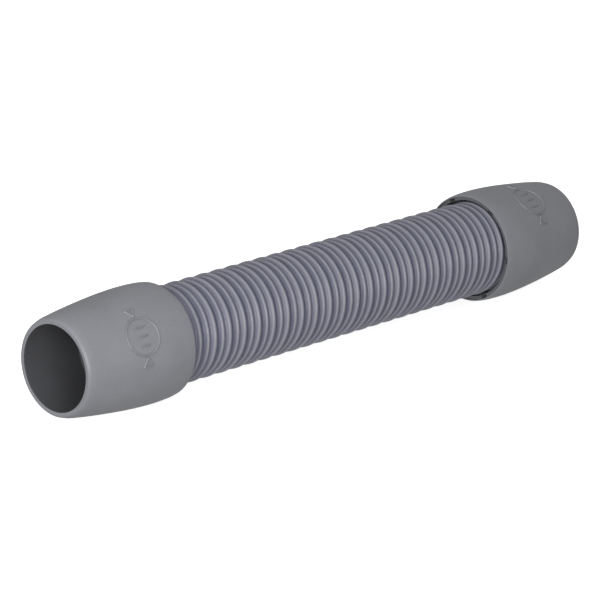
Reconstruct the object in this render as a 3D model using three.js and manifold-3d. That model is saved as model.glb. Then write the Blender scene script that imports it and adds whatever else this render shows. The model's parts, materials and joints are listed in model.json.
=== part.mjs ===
// Short flexible drain connector: a ribbed plastic hose between two barrel-shaped pipe sockets.
// Millimetres. The hose axis is X, +Z is up and the origin is the middle of the hose axis.
// End A is at -X and end B at +X; end B is the same set of pieces turned half a turn about Z.
import * as THREE from "three";
import { mergeVertices } from "three/addons/utils/BufferGeometryUtils.js";
import Module from "manifold-3d";

const wasm = await Module();
wasm.setup();

// Driving dimensions
const TOTAL_LENGTH = 274;
const CUFF_LENGTH = 49.3;
const SOCKET_RADIUS = 16;
const SOCKET_DEPTH = 27;
const HOSE_RADIUS = 18.7;
const HOSE_BORE_RADIUS = 14.6;
const RIB_PITCH = 7.7;
const JOINTS = 22;
const CLEARANCE = 0.3;
const FACETS = 24;

// Lengths that follow from them; "depth" is measured along the axis from a cuff's mouth
const MOUTH_X = -TOTAL_LENGTH / 2;
const FIRST_JOINT_X = (-(JOINTS - 1) * RIB_PITCH) / 2;
const HALF_JOINT_GAP = 0.95;
const VALLEY_RADIUS = HOSE_RADIUS - 1.5;
const LOW_CREST_RADIUS = HOSE_RADIUS - 0.3;
const RIB_GROOVE_RADIUS = HOSE_RADIUS - 0.8;
const STOP_RADIUS = 14.4;
const STOP_END = SOCKET_DEPTH + 3;
const CHAMBER_RADIUS = 20.6;
const RECESS_RADIUS = 21.15;
const RECESS_START = 46;
const SEAL_START = STOP_END + CLEARANCE;
const SEAL_END = SEAL_START + 1;
const FLANGE_START = SEAL_END + CLEARANCE;
const FLANGE_END = FLANGE_START + 1.8;
const HOSE_START = FLANGE_END + CLEARANCE;
const GRIP_END = 46;
const RING_BORE_RADIUS = 19.4;
const WINDOWS = 6;
const MARK_DEPTH = 25.5;

const cuffPlastic = { color: 0x85868a, roughness: 0.55, metalness: 0 };
const hosePlastic = { color: 0x8b8b98, roughness: 0.45, metalness: 0 };
const innerPlastic = { color: 0x606266, roughness: 0.6, metalness: 0 };
const sealRubber = { color: 0x232427, roughness: 0.8, metalness: 0 };

function mesh(name, geometry, look) {
  const made = new THREE.Mesh(geometry, new THREE.MeshStandardMaterial(look));
  made.name = name;
  return made;
}

// Turns an outline of [x, radius] corners, given anticlockwise with x to the right, about the X axis.
function turned(outline) {
  const points = outline.map(([x, radius]) => new THREE.Vector2(radius, x));
  points.push(points[0].clone());
  points.reverse();
  const geometry = new THREE.LatheGeometry(points, FACETS, Math.PI / FACETS);
  return geometry.rotateZ(-Math.PI / 2);
}

// An outline given in depth from the mouth of end A
function turnedAtDepth(outline) {
  return turned(outline.map(([depth, radius]) => [MOUTH_X + depth, radius]));
}

function solid(geometry) {
  const plain = geometry.index ? geometry.toNonIndexed() : geometry.clone();
  plain.deleteAttribute("normal");
  plain.deleteAttribute("uv");
  const merged = mergeVertices(plain, 1e-4);
  return new wasm.Manifold(
    new wasm.Mesh({
      numProp: 3,
      vertProperties: merged.attributes.position.array,
      triVerts: new Uint32Array(merged.index.array),
    }),
  );
}

function geometryOf(manifold) {
  const made = manifold.getMesh();
  const geometry = new THREE.BufferGeometry();
  geometry.setAttribute("position", new THREE.BufferAttribute(made.vertProperties, 3));
  geometry.setIndex(new THREE.BufferAttribute(made.triVerts, 1));
  return geometry;
}

// Barrel outline of a cuff from its lip to its back rim, as [depth, radius]
const CUFF_OUTLINE = [
  [0, 17.5],
  [0.5, 18.05],
  [2, 18.5],
  [6, 19.15],
  [12.3, 20.05],
  [20, 20.9],
  [27, 21.55],
  [34.5, 22],
  [40.5, 22.1],
  [45, 22],
  [47.8, 21.85],
  [CUFF_LENGTH, 21.6],
];

function barrelRadius(depth) {
  const i = CUFF_OUTLINE.findIndex(([d]) => d >= depth);
  const [d0, r0] = CUFF_OUTLINE[i - 1];
  const [d1, r1] = CUFF_OUTLINE[i];
  return r0 + ((r1 - r0) * (depth - d0)) / (d1 - d0);
}

// Point of end A at a depth, at an angle from -Y towards +Z, a lift above the barrel
function onBarrel(depth, angle, lift) {
  const radius = barrelRadius(depth) + lift;
  return new THREE.Vector3(MOUTH_X + depth, -radius * Math.cos(angle), radius * Math.sin(angle));
}

// Lays a flat shape, x round the barrel and y along it, on the barrel as a raised mark.
function raisedMark(shape, angle) {
  const root = -0.5;
  const height = 0.35;
  const geometry = new THREE.ExtrudeGeometry(shape, {
    depth: height - root,
    bevelEnabled: false,
  });
  const at = geometry.getAttribute("position");
  const middleRadius = barrelRadius(MARK_DEPTH);
  for (let i = 0; i < at.count; i += 1) {
    const around = angle - at.getX(i) / middleRadius;
    const point = onBarrel(MARK_DEPTH + at.getY(i), around, root + at.getZ(i));
    at.setXYZ(i, point.x, point.y, point.z);
  }
  return geometry;
}

function circlePoints(radius, count) {
  return Array.from({ length: count }, (_, i) => {
    const angle = (i * 2 * Math.PI) / count;
    return new THREE.Vector2(radius * Math.cos(angle), radius * Math.sin(angle));
  });
}

function ringShape(outer, inner, count) {
  const shape = new THREE.Shape(circlePoints(outer, count));
  shape.holes.push(new THREE.Path(circlePoints(inner, count)));
  return shape;
}

function barShape(x, width, height) {
  const corner = (a, b) => new THREE.Vector2(x + (a * width) / 2, (b * height) / 2);
  return new THREE.Shape([corner(-1, -1), corner(1, -1), corner(1, 1), corner(-1, 1)]);
}

// Triangle outline with its point towards the middle of the mark
function arrowShape(side) {
  const outer = [7.6, 11.5, 2.3];
  const inner = [9, 11, 1.25];
  const corners = ([tip, back, half]) => [
    new THREE.Vector2(side * tip, 0),
    new THREE.Vector2(side * back, -side * half),
    new THREE.Vector2(side * back, side * half),
  ];
  const shape = new THREE.Shape(corners(outer));
  shape.holes.push(new THREE.Path(corners(inner)));
  return shape;
}

// A ring round three plain bars, with an arrowhead on either side
function markShapes() {
  const bars = [-3.4, 0, 3.4].map((x) => barShape(x, 0.6, 4));
  return [ringShape(7.3, 6.7, 24), ...bars, arrowShape(1), arrowShape(-1)];
}

function cuffShell(name, markAngle) {
  const outline = [
    [0.3, SOCKET_RADIUS],
    [SOCKET_DEPTH, SOCKET_RADIUS],
    [SOCKET_DEPTH, STOP_RADIUS],
    [STOP_END, STOP_RADIUS],
    [STOP_END, CHAMBER_RADIUS],
    [RECESS_START, CHAMBER_RADIUS],
    [RECESS_START, RECESS_RADIUS],
    [CUFF_LENGTH, RECESS_RADIUS],
    ...[...CUFF_OUTLINE].reverse(),
    [0, SOCKET_RADIUS + 0.3],
  ];
  let shell = solid(turnedAtDepth(outline));
  for (const shape of markShapes()) shell = shell.add(solid(raisedMark(shape, markAngle)));
  return mesh(name, geometryOf(shell), cuffPlastic);
}

function sealRing(name) {
  const outline = [
    [SEAL_START, 15.2],
    [SEAL_END, 15.2],
    [SEAL_END, 20.2],
    [SEAL_START, 20.2],
  ];
  return mesh(name, turnedAtDepth(outline), sealRubber);
}

function tailSleeve(name) {
  const bore = 13.2;
  const tail = HOSE_BORE_RADIUS - CLEARANCE;
  const outline = [
    [FLANGE_START, bore],
    [46.5, bore],
    [46.5, tail - 0.5],
    [45, tail],
    [FLANGE_END, tail],
    [FLANGE_END, 20.2],
    [FLANGE_START, 20.2],
  ];
  return mesh(name, turnedAtDepth(outline), innerPlastic);
}

// Split ring that grips the hose end inside the cuff, with one slit along it
function gripCollet(name) {
  const inner = HOSE_RADIUS + CLEARANCE;
  const outer = CHAMBER_RADIUS - 0.4;
  const start = HOSE_START + CLEARANCE;
  const ring = solid(turnedAtDepth([[start, inner], [GRIP_END, inner], [GRIP_END, outer], [start, outer]]));
  const slit = new THREE.BoxGeometry(2 * (GRIP_END - start), 4, 3);
  slit.translate(MOUTH_X + GRIP_END, 0, -(inner + outer) / 2);
  return mesh(name, geometryOf(ring.subtract(solid(slit))), innerPlastic);
}

// Flat ring in the back of the cuff, with windows cut in its outer edge
function retainerRing(name) {
  const outer = RECESS_RADIUS - CLEARANCE;
  const start = RECESS_START + CLEARANCE;
  const end = CUFF_LENGTH - 0.4;
  const firstWindow = THREE.MathUtils.degToRad(5);
  const outline = [
    [start, RING_BORE_RADIUS],
    [end, RING_BORE_RADIUS],
    [end, outer],
    [start, outer],
  ];
  let ring = solid(turnedAtDepth(outline));
  for (let i = 0; i < WINDOWS; i += 1) {
    const window = new THREE.BoxGeometry(10, 1.8, 2.4);
    window.translate(MOUTH_X + end, -outer, 0);
    window.rotateX(-(firstWindow + (i * 2 * Math.PI) / WINDOWS));
    ring = ring.subtract(solid(window));
  }
  return mesh(name, geometryOf(ring), cuffPlastic);
}

// Outer outline of one rib, a twin-crested dome between two valleys, from the valley at x to the next
function ribOutline(x) {
  const crest = 1.9;
  return [
    [x + HALF_JOINT_GAP, VALLEY_RADIUS],
    [x + crest, LOW_CREST_RADIUS],
    [x + RIB_PITCH / 2, RIB_GROOVE_RADIUS],
    [x + RIB_PITCH - crest, HOSE_RADIUS],
    [x + RIB_PITCH - HALF_JOINT_GAP, VALLEY_RADIUS],
  ];
}

// Hose wall with one rib after each of the given valleys, starting at x = start
function hoseWall(name, start, valleys) {
  const ribs = valleys.flatMap(ribOutline);
  const end = ribs[ribs.length - 1][0];
  const outline = [
    [start, HOSE_BORE_RADIUS],
    [end, HOSE_BORE_RADIUS],
    ...ribs.reverse(),
  ];
  return mesh(name, turned(outline), hosePlastic);
}

function hoseEnd(name) {
  const valleys = [3, 2, 1].map((ribs) => FIRST_JOINT_X - ribs * RIB_PITCH);
  return hoseWall(name, MOUTH_X + HOSE_START, valleys);
}

function hoseSegment(index) {
  const valley = FIRST_JOINT_X + index * RIB_PITCH;
  const name = "hose_segment_" + String(index + 1).padStart(2, "0");
  return hoseWall(name, valley + HALF_JOINT_GAP, [valley]);
}

function endSet(letter, markAngle) {
  const end = new THREE.Group();
  end.add(cuffShell("cuff_shell_" + letter, THREE.MathUtils.degToRad(markAngle)));
  end.add(sealRing("seal_ring_" + letter));
  end.add(tailSleeve("tail_sleeve_" + letter));
  end.add(gripCollet("grip_collet_" + letter));
  end.add(retainerRing("retainer_ring_" + letter));
  end.add(hoseEnd("hose_end_" + letter));
  return end;
}

function connector() {
  const group = new THREE.Group();
  group.add(endSet("a", 28));
  const farEnd = endSet("b", 125);
  farEnd.rotation.z = Math.PI;
  group.add(farEnd);
  for (let i = 0; i < JOINTS - 1; i += 1) group.add(hoseSegment(i));
  return group;
}

export default connector();
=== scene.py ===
"""Looks of a short flexible drain connector: ribbed hose, two barrel cuffs and what the cuffs hold.

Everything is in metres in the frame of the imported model: the hose axis is X and +Z is up.
Angles round the axis start at -Y, the side that the camera sees, and grow towards +Z.
"""

import json
import math

import bmesh
import bpy
import numpy as np
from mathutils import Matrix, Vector


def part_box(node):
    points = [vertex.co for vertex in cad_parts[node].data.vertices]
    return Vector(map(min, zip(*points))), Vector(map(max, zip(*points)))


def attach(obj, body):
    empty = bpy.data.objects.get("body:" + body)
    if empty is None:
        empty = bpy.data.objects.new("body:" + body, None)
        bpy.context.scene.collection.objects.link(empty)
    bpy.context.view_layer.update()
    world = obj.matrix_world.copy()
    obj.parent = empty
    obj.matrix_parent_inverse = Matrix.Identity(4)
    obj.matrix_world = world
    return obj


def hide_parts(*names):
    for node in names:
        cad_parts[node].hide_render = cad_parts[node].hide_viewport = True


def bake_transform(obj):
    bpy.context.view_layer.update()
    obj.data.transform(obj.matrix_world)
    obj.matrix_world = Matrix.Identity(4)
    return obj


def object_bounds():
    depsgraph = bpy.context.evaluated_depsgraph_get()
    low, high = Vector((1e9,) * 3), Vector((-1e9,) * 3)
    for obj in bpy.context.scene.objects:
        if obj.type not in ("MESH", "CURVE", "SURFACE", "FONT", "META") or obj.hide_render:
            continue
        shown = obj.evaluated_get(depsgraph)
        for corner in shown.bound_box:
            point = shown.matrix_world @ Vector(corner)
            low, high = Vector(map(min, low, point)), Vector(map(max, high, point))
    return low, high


MM = 0.001
AROUND = 144

# Hose, in metres
RIB_PITCH = 7.7 * MM
RIB_START = 87.63 * MM
HOSE_RADIUS = 18.7 * MM
BORE_RADIUS = 14.6 * MM
VALLEY_DEPTH = 2.0 * MM
DRAW_LINES = 7

# Cuff, in millimetres; depths are measured along the axis from the mouth
SOCKET_RADIUS = 16
SOCKET_DEPTH = 27
STOP_RADIUS = 14.4
STOP_END = SOCKET_DEPTH + 3
CHAMBER_RADIUS = 20.6
RECESS_RADIUS = 20.95
RECESS_START = 46
CUFF_END = 49.3
FLANGE_RADIUS = 20.2
RING_BORE_RADIUS = 19.45
RING_RADIUS = 20.9
WINDOWS = 6
WINDOW_FLOOR = 19.75
WINDOW_WIDTH = 3.0
MARK_DEPTH = 25.5
MARK_RING_RADIUS = 7
MARK_LINE_WIDTH = 0.75
MARK_LINE_HEIGHT = 0.55


# Camera and studio


def make_camera():
    """A long lens at the photograph's viewing angle, aimed a little towards end a."""
    azimuth, elevation, roll = (math.radians(a) for a in (-46.77, 15.63, -0.3))
    target = Vector((-9.96, 0, -1.17)) * MM
    back = Vector(
        (
            math.sin(azimuth) * math.cos(elevation),
            -math.cos(azimuth) * math.cos(elevation),
            math.sin(elevation),
        )
    )
    data = bpy.data.cameras.new("camera")
    data.sensor_width = 36
    data.lens = 206.4
    data.clip_start, data.clip_end = 0.05, 50
    camera = bpy.data.objects.new("camera", data)
    bpy.context.scene.collection.objects.link(camera)
    camera.location = target + back * 1.306
    camera.rotation_euler = back.to_track_quat("Z", "Y").to_euler()
    camera.rotation_euler.rotate_axis("Z", roll)
    bpy.context.scene.camera = camera


def area_light(name, place, aim, size, power):
    """Rectangular light at a place, turned to face the point it aims at."""
    data = bpy.data.lights.new(name, "AREA")
    data.shape = "RECTANGLE"
    data.size, data.size_y = size
    data.energy = power
    light = bpy.data.objects.new(name, data)
    bpy.context.scene.collection.objects.link(light)
    light.location = place
    direction = Vector(aim) - Vector(place)
    light.rotation_euler = direction.to_track_quat("-Z", "Y").to_euler()


def make_world(strength):
    world = bpy.data.worlds.new("studio")
    world.use_nodes = True
    background = world.node_tree.nodes["Background"]
    background.inputs["Color"].default_value = (1, 1, 1, 1)
    background.inputs["Strength"].default_value = strength
    bpy.context.scene.world = world


def make_floor(height, half=6):
    """Pale floor that lights nothing and shows in no reflection."""
    mesh = bpy.data.meshes.new("floor")
    corners = [(-half, -half, 0), (half, -half, 0), (half, half, 0), (-half, half, 0)]
    mesh.from_pydata(corners, [], [(0, 1, 2, 3)])
    floor = bpy.data.objects.new("floor", mesh)
    bpy.context.scene.collection.objects.link(floor)
    floor.location = (0, 0, height)
    floor.visible_diffuse = False
    floor.visible_glossy = False
    material = bpy.data.materials.new("pale_floor")
    material.use_nodes = True
    shader = material.node_tree.nodes["Principled BSDF"]
    shader.inputs["Base Color"].default_value = (0.9, 0.9, 0.9, 1)
    shader.inputs["Roughness"].default_value = 0.9
    shader.inputs["Emission Color"].default_value = (1, 1, 1, 1)
    shader.inputs["Emission Strength"].default_value = 0.8
    mesh.materials.append(material)


def make_studio(floor_height):
    """Even white surroundings, a low key light beyond end a, a soft top light and a small near light."""
    bpy.context.scene.view_settings.view_transform = "Standard"
    make_world(0.42)
    area_light("key_light", (-1.15, -0.52, 0.26), (0, 0, 0), (0.4, 0.7), 8)
    area_light("top_light", (-0.5, -0.2, 1.2), (0, 0, 0), (0.8, 0.8), 3)
    area_light("near_light", (-0.36, -0.42, 0.08), (-0.12, 0, 0), (0.2, 0.12), 1.05)
    make_floor(floor_height)


# Materials


class Nodes:
    """Short names for building a node tree."""

    def __init__(self, name, place=None):
        self.material = bpy.data.materials.new(name)
        self.material.use_nodes = True
        self.tree = self.material.node_tree
        self.shader = self.tree.nodes["Principled BSDF"]
        if place:
            self.place = self.node("ShaderNodeAttribute", attribute_name=place).outputs["Vector"]
        else:
            self.place = self.node("ShaderNodeTexCoord").outputs["Object"]

    def node(self, kind, **settings):
        made = self.tree.nodes.new(kind)
        for key, value in settings.items():
            setattr(made, key, value)
        return made

    def link(self, source, target):
        self.tree.links.new(source, target)

    def noise(self, scale, detail=3.0, roughness=0.5, stretch=None):
        made = self.node("ShaderNodeTexNoise")
        made.inputs["Scale"].default_value = scale
        made.inputs["Detail"].default_value = detail
        made.inputs["Roughness"].default_value = roughness
        source = self.place
        if stretch:
            mapping = self.node("ShaderNodeMapping")
            mapping.inputs["Scale"].default_value = stretch
            self.link(self.place, mapping.inputs["Vector"])
            source = mapping.outputs["Vector"]
        self.link(source, made.inputs["Vector"])
        return made.outputs["Fac"]

    def math(self, operation, *values):
        made = self.node("ShaderNodeMath", operation=operation)
        for socket, value in zip(made.inputs, values):
            if isinstance(value, (int, float)):
                socket.default_value = value
            else:
                self.link(value, socket)
        return made.outputs["Value"]

    def ramp(self, source, stops):
        made = self.node("ShaderNodeValToRGB")
        elements = made.color_ramp.elements
        while len(elements) < len(stops):
            elements.new(0.5)
        for element, (position, colour) in zip(elements, stops):
            element.position = position
            element.color = (*colour, 1)
        self.link(source, made.inputs["Fac"])
        return made.outputs["Color"]

    def spread(self, source, low, high):
        made = self.node("ShaderNodeMapRange")
        made.inputs["To Min"].default_value = low
        made.inputs["To Max"].default_value = high
        self.link(source, made.inputs["Value"])
        return made.outputs["Result"]

    def mix(self, factor, first, second, kind="MIX"):
        made = self.node("ShaderNodeMix", data_type="RGBA", blend_type=kind)
        colours = [s for s in made.inputs if s.type == "RGBA"]
        for socket, value in ((made.inputs["Factor"], factor), (colours[0], first), (colours[1], second)):
            if isinstance(value, (int, float, tuple)):
                socket.default_value = value
            else:
                self.link(value, socket)
        return [s for s in made.outputs if s.type == "RGBA"][0]

    def bump(self, heights):
        """Chains bumps of (height, strength, distance) into the shader's normal."""
        normal = None
        for height, strength, distance in heights:
            made = self.node("ShaderNodeBump")
            made.inputs["Strength"].default_value = strength
            made.inputs["Distance"].default_value = distance
            self.link(height, made.inputs["Height"])
            if normal:
                self.link(normal, made.inputs["Normal"])
            normal = made.outputs["Normal"]
        self.link(normal, self.shader.inputs["Normal"])


def moulded_plastic(name, colour, roughness, sheen_spread=0.06, bore=None):
    """Injection-moulded plastic: faint flow mottling, a fine satin grain and a few soft rub marks.

    A bore radius makes everything inside that radius darker: painted shade for the deep socket, where little
    light reaches.
    """
    n = Nodes(name)
    mottle = n.noise(55, 4, 0.55)
    darker = tuple(c * 0.95 for c in colour)
    lighter = tuple(min(1, c * 1.05) for c in colour)
    base = n.ramp(mottle, [(0.35, darker), (0.65, lighter)])
    specks = n.ramp(n.noise(1500, 2, 0.6), [(0.3, (0.9, 0.9, 0.9)), (0.42, (1, 1, 1))])
    base = n.mix(1.0, base, specks, "MULTIPLY")
    # Painted shade: inside the bore radius the colour drops to about a third, standing in for the shade deep
    # in the socket.
    if bore:
        place = n.node("ShaderNodeSeparateXYZ")
        n.link(n.place, place.inputs["Vector"])
        squares = [n.math("MULTIPLY", place.outputs[axis], place.outputs[axis]) for axis in "YZ"]
        radius = n.math("SQRT", n.math("ADD", *squares))
        inside = n.math("LESS_THAN", radius, bore)
        base = n.mix(inside, base, tuple(c * 0.34 for c in colour) + (1,))
    n.link(base, n.shader.inputs["Base Color"])
    rubs = n.noise(120, 5, 0.65, (0.25, 1, 1))
    n.link(n.spread(rubs, roughness - sheen_spread, roughness + sheen_spread), n.shader.inputs["Roughness"])
    n.bump([(n.noise(900, 3, 0.6), 0.06, 0.0002), (n.noise(70, 2, 0.5), 0.04, 0.0008)])
    n.shader.inputs["IOR"].default_value = 1.5
    return n.material


def hose_plastic(name):
    """Extruded plastic with a lilac cast and fine lines along the ribs; the valleys are painted darker and
    bluer, a painted shade of the deep grooves.
    """
    n = Nodes(name, "rest_place")
    # Painted shade: the valley colour is darker and bluer than the crest colour and is laid on by rib height,
    # standing in for the shade in the rib valleys.
    crest = (0.244, 0.242, 0.288)
    valley = (0.1, 0.105, 0.16)
    depth = n.node("ShaderNodeAttribute", attribute_name="rib_height").outputs["Fac"]
    base = n.ramp(depth, [(0.05, valley), (0.75, crest)])
    mottle = n.ramp(n.noise(90, 4, 0.6), [(0.3, (0.93, 0.93, 0.94)), (0.7, (1, 1, 1))])
    base = n.mix(1.0, base, mottle, "MULTIPLY")
    place = n.node("ShaderNodeSeparateXYZ")
    n.link(n.place, place.inputs["Vector"])
    angle = n.math("ARCTAN2", place.outputs["Z"], n.math("MULTIPLY", place.outputs["Y"], -1))
    turns = n.math("DIVIDE", angle, 2 * math.pi)
    share = n.math("SUBTRACT", n.math("DIVIDE", place.outputs["X"], RIB_PITCH), turns)
    lines = n.math("SINE", n.math("MULTIPLY", share, 2 * math.pi * DRAW_LINES))
    streaks = n.ramp(n.math("MULTIPLY_ADD", lines, 0.5, 0.5), [(0.2, (0.86, 0.86, 0.88)), (0.7, (1, 1, 1))])
    n.link(n.mix(1.0, base, streaks, "MULTIPLY"), n.shader.inputs["Base Color"])
    n.link(n.spread(n.noise(200, 4, 0.6), 0.38, 0.48), n.shader.inputs["Roughness"])
    n.bump(
        [
            (lines, 1.0, 0.00003),
            (n.noise(1100, 3, 0.6), 0.1, 0.0002),
            (n.noise(240, 3, 0.5, (3, 1, 1)), 0.1, 0.0005),
        ]
    )
    return n.material


def rubber(name):
    n = Nodes(name)
    base = n.ramp(n.noise(300, 4, 0.6), [(0.3, (0.018, 0.018, 0.02)), (0.7, (0.03, 0.03, 0.032))])
    n.link(base, n.shader.inputs["Base Color"])
    n.link(n.spread(n.noise(500, 3, 0.6), 0.65, 0.85), n.shader.inputs["Roughness"])
    n.bump([(n.noise(1200, 3, 0.6), 0.15, 0.0002)])
    return n.material


# Shapes


def arc_corner(before, corner, after, radius, steps=6):
    """The points of a round of the given radius where two straight lines meet."""
    tip = np.array(corner, float)
    to_a, to_b = np.array(before, float) - tip, np.array(after, float) - tip
    room = min(np.linalg.norm(to_a), np.linalg.norm(to_b)) * 0.49
    to_a, to_b = to_a / np.linalg.norm(to_a), to_b / np.linalg.norm(to_b)
    half = math.acos(max(-1.0, min(1.0, float(to_a @ to_b)))) / 2
    reach = min(radius / math.tan(half), room)
    radius = reach * math.tan(half)
    middle = (to_a + to_b) / np.linalg.norm(to_a + to_b)
    centre = tip + middle * radius / math.sin(half)
    first, last = tip + to_a * reach - centre, tip + to_b * reach - centre
    swing = math.atan2(first[0] * last[1] - first[1] * last[0], float(first @ last))
    points = []
    for i in range(steps + 1):
        c, s = math.cos(i * swing / steps), math.sin(i * swing / steps)
        points.append(tuple(centre + [first[0] * c - first[1] * s, first[0] * s + first[1] * c]))
    return points


def rounded(corners):
    """A closed outline from (x, radius, round) corners, with every corner rounded by its round."""
    points = []
    for i, (x, r, edge) in enumerate(corners):
        before, after = corners[i - 1], corners[(i + 1) % len(corners)]
        if edge > 0:
            points += arc_corner(before[:2], (x, r), after[:2], edge)
        else:
            points.append((x, r))
    return points


def between(a, b, pieces):
    """Points that cut the way from a to b into equal pieces, without b itself."""
    way = np.array(b) - np.array(a)
    return [tuple(np.array(a) + way * k / pieces) for k in range(pieces)]


def refined(points, longest):
    """The same closed outline with its long sides cut into shorter ones."""
    made = []
    for i, a in enumerate(points):
        b = points[(i + 1) % len(points)]
        pieces = max(1, math.ceil(math.dist(a, b) / longest))
        made += between(a, b, pieces)
    return made


def new_object(name, vertices, faces, material):
    mesh = bpy.data.meshes.new(name)
    mesh.from_pydata([tuple(v) for v in vertices], [], faces)
    mesh.validate()
    mesh.materials.append(material)
    mesh.shade_smooth()
    made = bpy.data.objects.new(name, mesh)
    bpy.context.scene.collection.objects.link(made)
    return made


def grid_faces(columns, rows, flip):
    """Quads of a surface closed both ways, with vertices in columns of rows."""
    faces = []
    for i in range(columns):
        for j in range(rows):
            a, b = i * rows + j, i * rows + (j + 1) % rows
            c, d = ((i + 1) % columns) * rows + (j + 1) % rows, ((i + 1) % columns) * rows + j
            faces.append((a, d, c, b) if flip else (a, b, c, d))
    return faces


def signed_area(outline):
    x, r = np.array(outline).T
    return float(np.sum(x * np.roll(r, -1) - np.roll(x, -1) * r))


def on_circle(x, radius, angle):
    return (x, -radius * math.cos(angle), radius * math.sin(angle))


def turned(name, outline, material, angles=None, radius_at=None):
    """Turns a closed outline of (x, radius) about the axis; radius_at may change a radius at an angle."""
    angles = angles or [2 * math.pi * i / AROUND for i in range(AROUND)]
    vertices = []
    for angle in angles:
        for x, r in outline:
            vertices.append(on_circle(x, radius_at(x, r, angle) if radius_at else r, angle))
    faces = grid_faces(len(angles), len(outline), signed_area(outline) > 0)
    return new_object(name, vertices, faces, material)


# Where things are: each end is given by its mouth's x and the way from the mouth to the hose


class End:
    """One end of the connector, and how depths from its mouth lie in the frame."""

    def __init__(self, letter, mark_angle):
        low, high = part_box("cuff_shell_" + letter)
        self.letter = letter
        self.mouth, self.way = (low.x, 1) if letter == "a" else (high.x, -1)
        self.length = high.x - low.x
        self.mark_angle = math.radians(mark_angle)

    def at(self, depth):
        return self.mouth + self.way * depth

    def outline(self, corners):
        """Corners of (depth, radius, round) in millimetres as a rounded outline in the frame."""
        return rounded([(self.at(d * MM), r * MM, edge * MM) for d, r, edge in corners])


BARREL = [
    (0.5, 18.0),
    (2, 18.5),
    (6, 19.2),
    (12.3, 20.05),
    (20, 20.9),
    (27, 21.55),
    (34.5, 22.0),
    (40.5, 22.1),
    (45, 21.95),
    (47.6, 21.75),
    (48.9, 21.5),
]


def barrel_radius(depth):
    """Outer radius of a cuff at a depth from its mouth, a smooth curve through BARREL, in metres."""
    d, r = np.array(BARREL).T * MM
    slope = np.gradient(r, d)
    i = int(np.clip(np.searchsorted(d, depth) - 1, 0, len(d) - 2))
    span = d[i + 1] - d[i]
    t = (depth - d[i]) / span
    return float(
        (2 * t**3 - 3 * t**2 + 1) * r[i]
        + (t**3 - 2 * t**2 + t) * span * slope[i]
        + (3 * t**2 - 2 * t**3) * r[i + 1]
        + (t**3 - t**2) * span * slope[i + 1]
    )


def cuff_shell(end, material):
    """Barrel outside, socket, stop and chamber inside, with a thin rounded lip at the mouth."""
    inner = [
        (0, SOCKET_RADIUS + 1.4, 0.25),
        (0, SOCKET_RADIUS, 0.35),
        (SOCKET_DEPTH, SOCKET_RADIUS, 0.25),
        (SOCKET_DEPTH, STOP_RADIUS, 0.3),
        (STOP_END, STOP_RADIUS, 0.3),
        (STOP_END, CHAMBER_RADIUS, 0.4),
        (RECESS_START, CHAMBER_RADIUS, 0.1),
        (RECESS_START, RECESS_RADIUS, 0.1),
        (CUFF_END, RECESS_RADIUS, 0.1),
        (CUFF_END, BARREL[-1][1], 0.2),
    ]
    lip = BARREL[0]
    depths = [lip[0] + (BARREL[-1][0] - lip[0]) * i / 48 for i in range(48, -1, -1)]
    barrel = [(d, barrel_radius(d * MM) / MM, 0) for d in depths]
    outline = refined(end.outline(inner + barrel), 0.9 * MM)
    shell = turned("cuff_shell_" + end.letter + "_skin", outline, material)
    return finish_piece(shell, "cuff_" + end.letter, "cuff_shell_" + end.letter)


def finish_piece(piece, body, *nodes):
    """Ties a piece to its body and hides the CAD nodes that it stands for."""
    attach(piece, body)
    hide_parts(*nodes)
    return piece


def unit(vectors):
    return vectors / np.maximum(np.linalg.norm(vectors, axis=1, keepdims=True), 1e-12)


def raised_line(end, points, width, height, closed):
    """Vertices and faces of a rounded raised line that follows points (round, along) on the barrel."""
    section = [(-0.5, -0.35), (-0.36, 0.55), (-0.16, 0.95), (0.16, 0.95), (0.36, 0.55), (0.5, -0.35)]
    path = np.array(points, float)
    ahead = np.roll(path, -1, 0) - path
    behind = path - np.roll(path, 1, 0)
    if not closed:
        ahead[-1], behind[0] = behind[-1], ahead[0]
    tangent = unit(unit(ahead) + unit(behind))
    side = np.stack([-tangent[:, 1], tangent[:, 0]], 1)
    square = np.stack([-unit(ahead)[:, 1], unit(ahead)[:, 0]], 1)
    miter = 1 / np.maximum(0.5, np.abs(np.sum(side * square, 1)))
    vertices = []
    for p, s, m in zip(path, side, miter):
        for across, up in section:
            u, v = p + s * across * width * m
            depth = MARK_DEPTH * MM + v
            radius = barrel_radius(depth) + up * height
            angle = end.mark_angle - u / barrel_radius(MARK_DEPTH * MM)
            if end.way < 0:
                angle = math.pi - angle
            vertices.append(on_circle(end.at(depth), radius, angle))
    n, rows = len(path), len(section)
    faces = []
    for i in range(n if closed else n - 1):
        for j in range(rows):
            a, b = i * rows + j, i * rows + (j + 1) % rows
            c, d = ((i + 1) % n) * rows + (j + 1) % rows, ((i + 1) % n) * rows + j
            faces.append((a, b, c, d))
    if not closed:
        faces += [tuple(range(rows - 1, -1, -1)), tuple((n - 1) * rows + j for j in range(rows))]
    return vertices, faces


def along(points, step):
    """Points no further apart than step along a polyline."""
    made = []
    for a, b in zip(points[:-1], points[1:]):
        pieces = max(1, math.ceil(math.dist(a, b) / step))
        made += between(a, b, pieces)
    return made + [points[-1]]


def ring_path(radius, count):
    turns = [2 * math.pi * i / count for i in range(count)]
    return [(radius * math.cos(t), radius * math.sin(t)) for t in turns]


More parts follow.
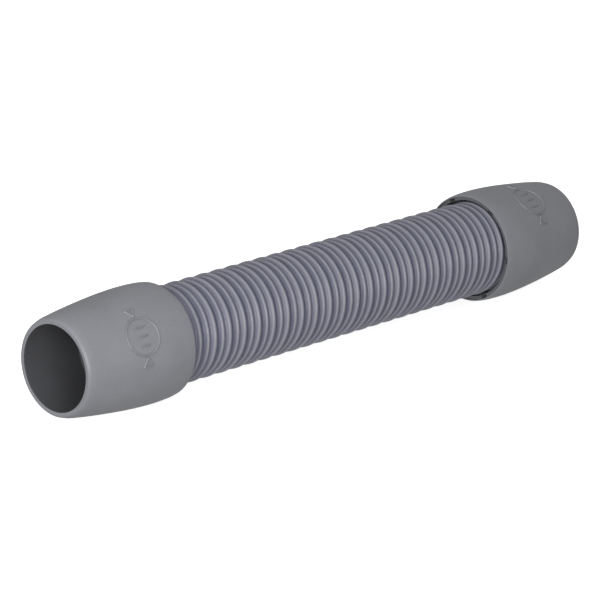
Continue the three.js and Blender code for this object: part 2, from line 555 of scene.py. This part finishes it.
def size_mark(end, material):
    """Raised ring round three plain bars, and two arrowheads that point at the ring."""
    step = 0.5
    lines = [(ring_path(MARK_RING_RADIUS, 72), True)]
    for x in (-3.4, 0, 3.4):
        lines.append((along([(x, -2), (x, 2)], step), False))
    for side in (-1, 1):
        triangle = [(side * 7.9, 0), (side * 11.2, -1.9), (side * 11.2, 1.9), (side * 7.9, 0)]
        lines.append((along(triangle, step)[:-1], True))
    vertices, faces = [], []
    for points, closed in lines:
        path = np.array(points) * MM
        made, sides = raised_line(end, path, MARK_LINE_WIDTH * MM, MARK_LINE_HEIGHT * MM, closed)
        faces += [tuple(len(vertices) + i for i in f) for f in sides]
        vertices += made
    mark = new_object("size_mark_" + end.letter, vertices, faces, material)
    make_outward(mark)
    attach(mark, "cuff_" + end.letter)


def make_outward(piece):
    """Turns every face of a closed piece outwards."""
    made = bmesh.new()
    made.from_mesh(piece.data)
    bmesh.ops.recalc_face_normals(made, faces=made.faces)
    made.to_mesh(piece.data)
    made.free()


def retainer_ring(end, material):
    """Flat ring in the back of the cuff with rectangular windows in its outer edge."""
    front, back = RECESS_START + 0.3, CUFF_END - 0.5
    half = WINDOW_WIDTH / 2 / CHAMBER_RADIUS
    corners = [
        (front, RING_BORE_RADIUS, 0.15),
        (back, RING_BORE_RADIUS, 0.3),
        (back, RING_RADIUS, 0.08),
        (front, RING_RADIUS, 0.08),
    ]
    outline = refined(end.outline(corners), 0.5 * MM)
    first = math.radians(-5) if end.way < 0 else math.radians(5)
    middles = [first + 2 * math.pi * k / WINDOWS for k in range(WINDOWS)]
    wall = 0.003
    angles = []
    for a, b in zip(middles, middles[1:] + [middles[0] + 2 * math.pi]):
        angles += [*np.linspace(a - half + wall, a + half - wall, 5)]
        angles += [*np.linspace(a + half, b - half, 20)]

    def radius_at(x, r, angle):
        off = min(abs(math.remainder(angle - m, 2 * math.pi)) for m in middles)
        return min(r, WINDOW_FLOOR * MM) if off < half - wall / 2 else r

    name = "retainer_ring_" + end.letter + "_skin"
    ring = turned(name, outline, material, angles, radius_at)
    flatten(ring)
    return finish_piece(ring, "cuff_" + end.letter, "retainer_ring_" + end.letter)


def flatten(piece, angle=35):
    """Keeps edges sharper than the angle sharp in the shading."""
    piece.data.set_sharp_from_angle(angle=math.radians(angle))


def seal_ring(end, material):
    """Flat rubber ring between the socket's stop and the sleeve's flange."""
    front, back, edge = STOP_END + 0.3, STOP_END + 1.3, 0.35
    ways_round = [(front, 15.2), (back, 15.2), (back, FLANGE_RADIUS), (front, FLANGE_RADIUS)]
    corners = [(depth, radius, edge) for depth, radius in ways_round]
    outline = refined(end.outline(corners), 0.5 * MM)
    ring = turned("seal_ring_" + end.letter + "_skin", outline, material)
    return finish_piece(ring, "cuff_" + end.letter, "seal_ring_" + end.letter)


def tail_sleeve(end, material):
    """Flanged sleeve inside the hose end, with low barbs."""
    front, back, bore = STOP_END + 1.6, 46.5, 13.2
    corners = [(front, bore, 0.4), (back, bore, 0.3), (back, bore + 0.5, 0.2)]
    for barb in range(4):
        tip = 45.2 - barb * 2.6
        corners += [(tip, 14.3, 0.1), (tip - 2.2, 13.9, 0.1)]
    flange_end = front + 1.8
    corners += [(flange_end, 13.9, 0.3), (flange_end, FLANGE_RADIUS, 0.3), (front, FLANGE_RADIUS, 0.3)]
    outline = refined(end.outline(corners), 0.6 * MM)
    sleeve = turned("tail_sleeve_" + end.letter + "_skin", outline, material)
    return finish_piece(sleeve, "hose_end_" + end.letter, "tail_sleeve_" + end.letter)


# Hose


# Outline of one rib pitch: millimetres along it and height over the valley floor, from 0 to 1
RIB_PROFILE = [
    (0.0, 0.05),
    (0.35, 0.1),
    (1.0, 0.05),
    (1.4, 0.2),
    (1.85, 0.66),
    (2.25, 0.82),
    (2.85, 0.78),
    (3.4, 0.42),
    (3.9, 0.22),
    (4.5, 0.22),
    (4.85, 0.46),
    (5.2, 0.84),
    (5.5, 0.98),
    (6.1, 1.0),
    (6.55, 0.8),
    (7.0, 0.25),
    (7.35, 0.0),
    (7.7, 0.05),
]


def rib_height(t):
    """Height of the wall over its valley floor, 0 to 1, at t millimetres along one rib pitch."""
    place, height = np.array(RIB_PROFILE).T
    pitch = place[-1]
    smooth = 0
    for offset, weight in ((-0.16, 1), (-0.08, 2), (0, 3), (0.08, 2), (0.16, 1)):
        smooth = smooth + weight / 9 * np.interp(np.mod(t + offset, pitch), place, height)
    return smooth


def rib_place(x, angle):
    """Where a point is along the pitch of the left-hand rib spiral, in millimetres."""
    return (x + RIB_START) / MM - RIB_PITCH / MM * angle / (2 * math.pi)


def hose_radius(x, angle):
    """Outer radius of the ribbed wall, in metres."""
    return HOSE_RADIUS - VALLEY_DEPTH * (1 - rib_height(rib_place(x, angle)))


def hose_piece(name, low, high, material):
    """Closed length of hose wall from x = low to high, with the ribs' own normals at its ends."""
    rows = max(8, round((high - low) / (0.24 * MM)))
    x = np.linspace(low, high, rows + 1)
    angle = np.linspace(0, 2 * math.pi, AROUND, endpoint=False)
    grid_x, grid_a = np.meshgrid(x, angle)
    outer = hose_radius(grid_x, grid_a)
    swell = (1 - np.cos(2 * math.pi * rib_place(grid_x, grid_a) * MM / RIB_PITCH)) / 2
    inner = BORE_RADIUS + 0.12 * MM * swell
    step_x, step_a = 0.05 * MM, 0.002
    slope_x = (hose_radius(grid_x + step_x, grid_a) - hose_radius(grid_x - step_x, grid_a)) / (2 * step_x)
    slope_a = (hose_radius(grid_x, grid_a + step_a) - hose_radius(grid_x, grid_a - step_a)) / (2 * step_a)
    radial = np.stack([0 * grid_a, -np.cos(grid_a), np.sin(grid_a)], -1)
    round_way = np.stack([0 * grid_a, np.sin(grid_a), np.cos(grid_a)], -1)
    ahead = np.array([1.0, 0, 0])
    normal = radial - slope_x[..., None] * ahead - (slope_a / outer)[..., None] * round_way
    normal /= np.linalg.norm(normal, axis=-1, keepdims=True)

    def places(radius):
        return np.stack([grid_x, -radius * np.cos(grid_a), radius * np.sin(grid_a)], -1).reshape(-1, 3)

    count = AROUND * (rows + 1)
    vertices = np.concatenate([places(outer), places(inner)])
    normals = np.concatenate([normal.reshape(-1, 3), -radial.reshape(-1, 3)])
    faces, corner_normals = [], []
    width = rows + 1
    for i in range(AROUND):
        k = (i + 1) % AROUND
        for j in range(rows):
            a, b, c, d = i * width + j, k * width + j, k * width + j + 1, i * width + j + 1
            for face in ((a, d, c, b), (a + count, b + count, c + count, d + count)):
                faces.append(face)
                corner_normals += [normals[v] for v in face]
        for j, way in ((0, -1), (rows, 1)):
            a, b = i * width + j, k * width + j
            face = (a, b, b + count, a + count)
            faces.append(face if way < 0 else face[::-1])
            corner_normals += [(way, 0, 0)] * 4
    piece = new_object(name, vertices, faces, material)
    height = np.concatenate([1 - (HOSE_RADIUS - outer.ravel()) / VALLEY_DEPTH, np.full(count, 0.6)])
    attribute = piece.data.attributes.new("rib_height", "FLOAT", "POINT")
    attribute.data.foreach_set("value", height.astype(np.float32))
    rest = piece.data.attributes.new("rest_place", "FLOAT_VECTOR", "POINT")
    rest.data.foreach_set("vector", vertices.astype(np.float32).ravel())
    piece.data.normals_split_custom_set([tuple(v) for v in corner_normals])
    return piece


def make_hose(bends, material):
    """One piece of wall for each bend, from half way along one body to half way along the next."""
    low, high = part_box("hose_end_a")[0].x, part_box("hose_end_b")[1].x
    half = RIB_PITCH / 2
    nodes = ["hose_end_a"] + [f"hose_segment_{i:02d}" for i in range(1, len(bends))] + ["hose_end_b"]
    for i, joint in enumerate(bends):
        middle = joint["pos_m"][0]
        left = low if i == 0 else middle - half
        right = high if i == len(bends) - 1 else middle + half
        piece = hose_piece(f"hose_wall_{i + 1:02d}", left, right, material)
        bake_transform(piece)
        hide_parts(nodes[i])
        if i == len(bends) - 1:
            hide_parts(nodes[i + 1])


def grip_collet(end, material):
    """Ring that grips the hose end inside the cuff."""
    front, back, inner = 34, RECESS_START, 19
    corners = [
        (front, inner, 0.3),
        (back, inner, 0.2),
        (back, FLANGE_RADIUS, 0.2),
        (front, FLANGE_RADIUS, 0.3),
    ]
    outline = refined(end.outline(corners), 0.6 * MM)
    collet = turned("grip_collet_" + end.letter + "_skin", outline, material)
    return finish_piece(collet, "hose_end_" + end.letter, "grip_collet_" + end.letter)


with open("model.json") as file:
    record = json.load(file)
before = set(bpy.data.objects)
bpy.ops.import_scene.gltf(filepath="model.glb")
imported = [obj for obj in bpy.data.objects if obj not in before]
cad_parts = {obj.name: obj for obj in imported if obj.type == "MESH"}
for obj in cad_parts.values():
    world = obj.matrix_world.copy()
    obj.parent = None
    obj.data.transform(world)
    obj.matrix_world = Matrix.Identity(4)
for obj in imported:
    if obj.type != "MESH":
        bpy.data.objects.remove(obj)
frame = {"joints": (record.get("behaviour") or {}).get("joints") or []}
cad_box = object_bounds()
make_camera()
make_studio(cad_box[0].z - 0.0001)

# The cuff material paints shade into the socket bore, inside the bore radius given here.
cuff_grey_painted_bore_shade = moulded_plastic("cuff_plastic", (0.217, 0.221, 0.24), 0.42, bore=(SOCKET_RADIUS + 0.15) * MM)
ring_grey = moulded_plastic("ring_plastic", (0.125, 0.128, 0.135), 0.5)
inner_grey = moulded_plastic("inner_plastic", (0.1, 0.1, 0.108), 0.55)
hose_grey = hose_plastic("hose_plastic")
black_rubber = rubber("seal_rubber")

for end in (End("a", 28), End("b", 125)):
    cuff_shell(end, cuff_grey_painted_bore_shade)
    size_mark(end, cuff_grey_painted_bore_shade)
    retainer_ring(end, ring_grey)
    seal_ring(end, black_rubber)
    tail_sleeve(end, inner_grey)
    grip_collet(end, inner_grey)
make_hose([j for j in frame["joints"] if j["name"].startswith(("sway", "lift"))], hose_grey)
